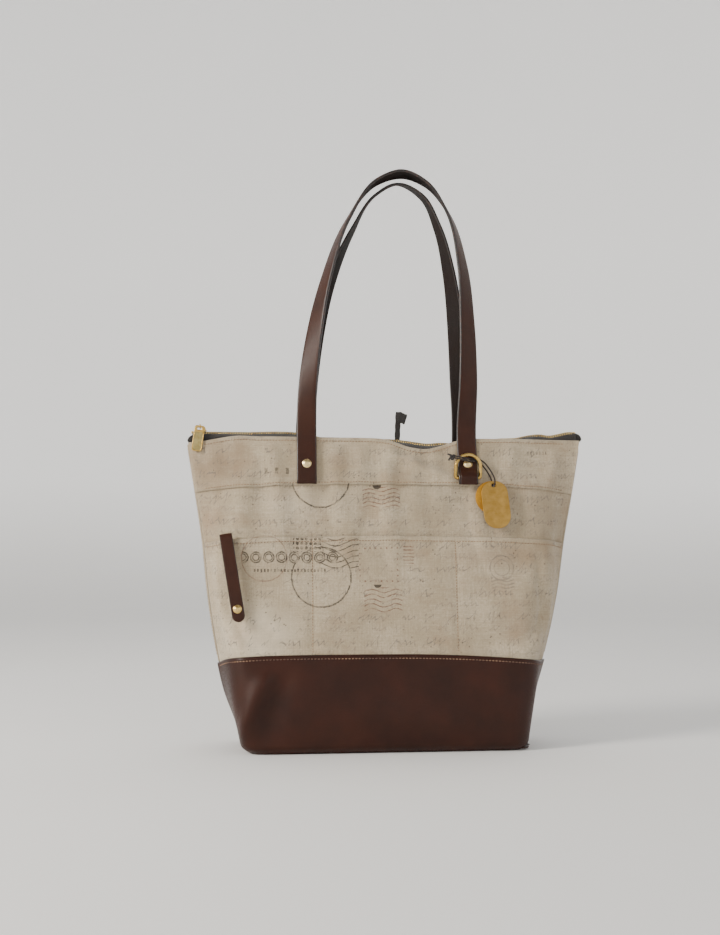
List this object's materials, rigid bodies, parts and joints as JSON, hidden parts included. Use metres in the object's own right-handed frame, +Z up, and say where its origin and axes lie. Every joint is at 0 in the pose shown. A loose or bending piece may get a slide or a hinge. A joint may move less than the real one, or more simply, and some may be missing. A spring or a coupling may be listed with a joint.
{
  "type": "zip-top tote bag",
  "caption": "Zip-top canvas shoulder tote with leather base, front pocket, two strap handles and a hanging tag charm.",
  "frame": {"origin": "centre of the base on the surface the tote stands on", "axes": "+X to the right seen from the front, -Y to the front (pocket side), +Z up"},
  "size_m": [0.4148, 0.11, 0.6086],
  "materials": {
    "canvas": "plain-weave cotton canvas with a worn print",
    "base_leather": "smooth dark brown",
    "strap_leather": "brown strap leather, dark painted edges",
    "board": "stiffening board",
    "lining": "cotton lining",
    "zip_tape": "black woven tape",
    "ribbon": "black ribbon",
    "brass": "polished brass",
    "tag_brass": "brushed brass",
    "tag_enamel": "mustard textured disc",
    "cord": "waxed dark brown cord"
  },
  "bodies": {
    "bag": {"front_yoke": "canvas", "back_yoke": "canvas", "front_panel": "canvas", "back_panel": "canvas", "front_pocket": "canvas", "pocket_tab": "base_leather", "pocket_tab_rivet_cap": "brass", "pocket_tab_rivet_post": "brass", "base_leather_front": "base_leather", "base_leather_back": "base_leather", "base_leather_bottom": "base_leather", "base_board": "board", "lining_front": "lining", "lining_back": "lining", "lining_bottom": "lining", "zip_tape_front": "zip_tape", "zip_tape_back": "zip_tape", "zip_teeth_front": "brass", "zip_teeth_back": "brass", "zip_top_stops": "brass", "zip_bottom_stop": "brass", "front_handle_tabs": "strap_leather", "back_handle_tabs": "strap_leather", "handle_rivet_caps": "brass", "handle_rivet_posts": "brass", "handle_rivet_burrs": "brass", "ribbon_loop": "ribbon"},
    "zip_slider": {"zip_slider": "brass"},
    "zip_link": {"zip_pull_link": "brass"},
    "zip_pull": {"zip_pull": "brass"},
    "front_handle": {"front_handle": "strap_leather"},
    "back_handle": {"back_handle": "strap_leather"},
    "d_ring": {"d_ring": "brass"},
    "charm_cord": {"tag_cord": "cord", "tag_cord_knot": "cord"},
    "brass_tag": {"brass_tag": "tag_brass"},
    "round_tag": {"round_tag": "tag_enamel"}
  },
  "joints": [
    {"name": "slider_travel", "type": "slide", "parent": "bag", "child": "zip_slider", "axis": [1, 0, 0], "range_m": [0, 0.088], "deforming": ["zip_teeth_front", "zip_teeth_back"]},
    {"name": "link_swing", "type": "hinge", "parent": "zip_slider", "child": "zip_link", "pos_m": [-0.195, 0, 0.3309], "axis": [1, 0, 0], "range_deg": [-88, 0]},
    {"name": "pull_swing", "type": "hinge", "parent": "zip_link", "child": "zip_pull", "pos_m": [-0.195, -0.0086, 0.3309], "axis": [1, 0, 0], "range_deg": [-150, 0]},
    {"name": "front_handle_fold", "type": "hinge", "parent": "bag", "child": "front_handle", "pos_m": [0, -0.0166, 0.3205], "axis": [1, 0, 0], "range_deg": [0, 140]},
    {"name": "back_handle_fold", "type": "hinge", "parent": "bag", "child": "back_handle", "pos_m": [0, 0.0166, 0.3205], "axis": [1, 0, 0], "range_deg": [-150, 0]},
    {"name": "ring_swing", "type": "hinge", "parent": "bag", "child": "d_ring", "pos_m": [0.0845, -0.02247, 0.27791], "axis": [1, 0, 0], "range_deg": [0, 120]},
    {"name": "charm_swing", "type": "hinge", "parent": "d_ring", "child": "charm_cord", "pos_m": [0.0845, -0.02467, 0.2996], "axis": [1, 0, 0], "range_deg": [-120, 0], "deforming": ["tag_cord"]},
    {"name": "brass_tag_turn", "type": "hinge", "parent": "charm_cord", "child": "brass_tag", "pos_m": [0.1104, -0.02795, 0.26979], "axis": [0, -0.9873, 0.1587], "range_deg": [-25, 25]},
    {"name": "round_tag_turn", "type": "hinge", "parent": "charm_cord", "child": "round_tag", "pos_m": [0.1104, -0.02573, 0.26943], "axis": [0, -0.9873, 0.1587], "range_deg": [-12, 25]}
  ],
  "couplings": [
    {"joint": "charm_swing", "follows": "ring_swing", "ratio": -1},
    {"joint": "link_swing", "follows": "slider_travel", "rad_per_m": -17.4}
  ]
}
